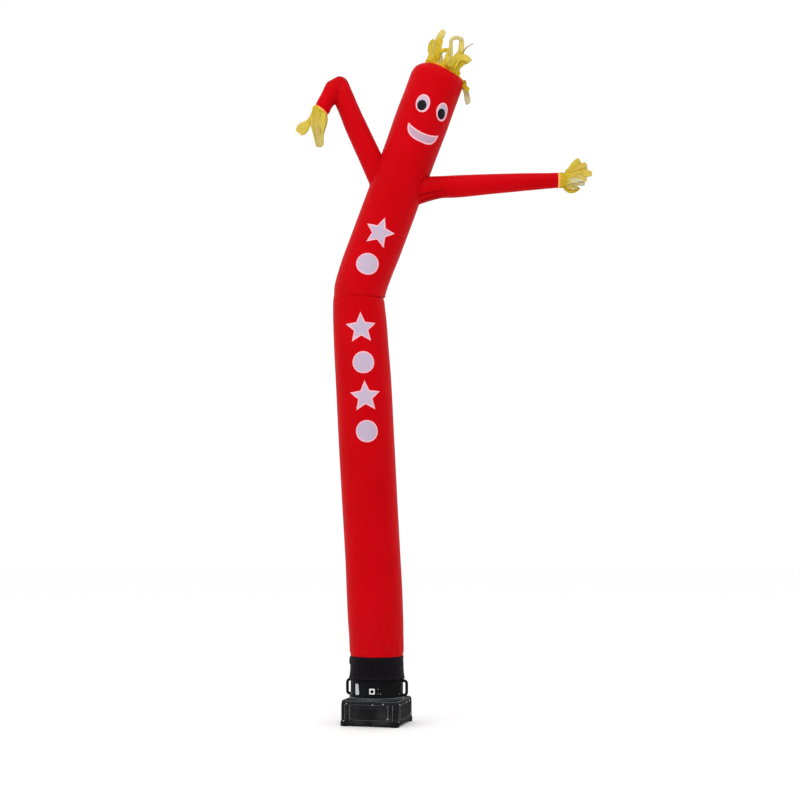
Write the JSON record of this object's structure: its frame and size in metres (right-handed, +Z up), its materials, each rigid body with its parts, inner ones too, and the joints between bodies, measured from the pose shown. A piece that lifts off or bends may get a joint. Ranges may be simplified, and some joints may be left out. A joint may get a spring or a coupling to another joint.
{
  "type": "inflatable air dancer on a blower",
  "caption": "Bent nylon air dancer with a smiling face, streamer hair and hands, and two sleeves, tied to the round outlet of a square floor blower.",
  "frame": {"origin": "on the ground under the middle of the blower's base", "axes": "+Z up; the dancer faces -Y; +X to the viewer's right, along the straight sleeve"},
  "size_m": [2.6065, 0.7209, 6.154],
  "materials": {
    "red_nylon": "smooth tight ripstop nylon, bright red",
    "yellow_nylon": "thin translucent nylon, yellow",
    "black_nylon": "matte coated nylon, black",
    "pale_nylon": "smooth sewn-on nylon, pale lilac grey",
    "pupil_nylon": "smooth sewn-on nylon, near black",
    "black_plastic": "moulded, slightly glossy, black",
    "foot_rubber": "matte, black",
    "white_plastic": "glossy, white",
    "grey_plastic": "bare label plate, pale grey"
  },
  "bodies": {
    "root": {"blower_housing": "black_plastic", "foot_1": "foot_rubber", "foot_2": "foot_rubber", "foot_3": "foot_rubber", "foot_4": "foot_rubber", "blower_ring": "black_plastic", "handle_left": "black_plastic", "handle_right": "black_plastic", "switch_plate": "white_plastic", "switch_knob": "black_plastic", "blank_plate": "grey_plastic", "collar": "black_nylon", "collar_tab": "black_nylon", "body_tube": "red_nylon", "arm_left": "red_nylon", "arm_right": "red_nylon", "eye_left": "pale_nylon", "pupil_left": "pupil_nylon", "eye_right": "pale_nylon", "pupil_right": "pupil_nylon", "mouth": "pale_nylon", "motif_1": "pale_nylon", "motif_2": "pale_nylon", "motif_3": "pale_nylon", "motif_4": "pale_nylon", "motif_5": "pale_nylon", "motif_6": "pale_nylon", "hair": "yellow_nylon", "hand_left": "yellow_nylon", "hand_right": "yellow_nylon"}
  },
  "joints": []
}
